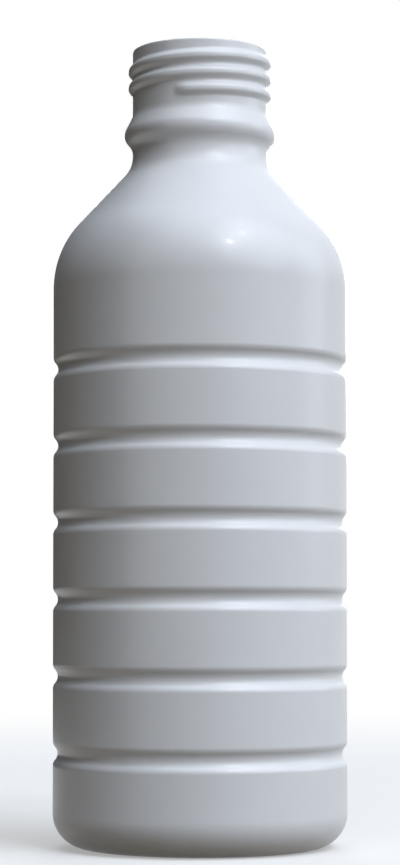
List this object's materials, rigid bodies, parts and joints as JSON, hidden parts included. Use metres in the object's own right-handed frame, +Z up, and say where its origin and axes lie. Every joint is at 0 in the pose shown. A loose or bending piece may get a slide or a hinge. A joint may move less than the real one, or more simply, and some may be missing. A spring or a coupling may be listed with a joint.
{
  "type": "plastic bottle",
  "caption": "White blow-moulded round bottle with horizontal ring grooves, a sloping shoulder, and an open threaded neck with a bead; no cap.",
  "frame": {"origin": "centre of the standing ring under the base", "axes": "+Z up along the bottle's axis towards the mouth, -Y towards the front of the picture, +X to its right"},
  "size_m": [0.076, 0.076, 0.2062],
  "materials": {
    "white_plastic": "satin gloss"
  },
  "bodies": {
    "root": {"bottle": "white_plastic"}
  },
  "joints": []
}
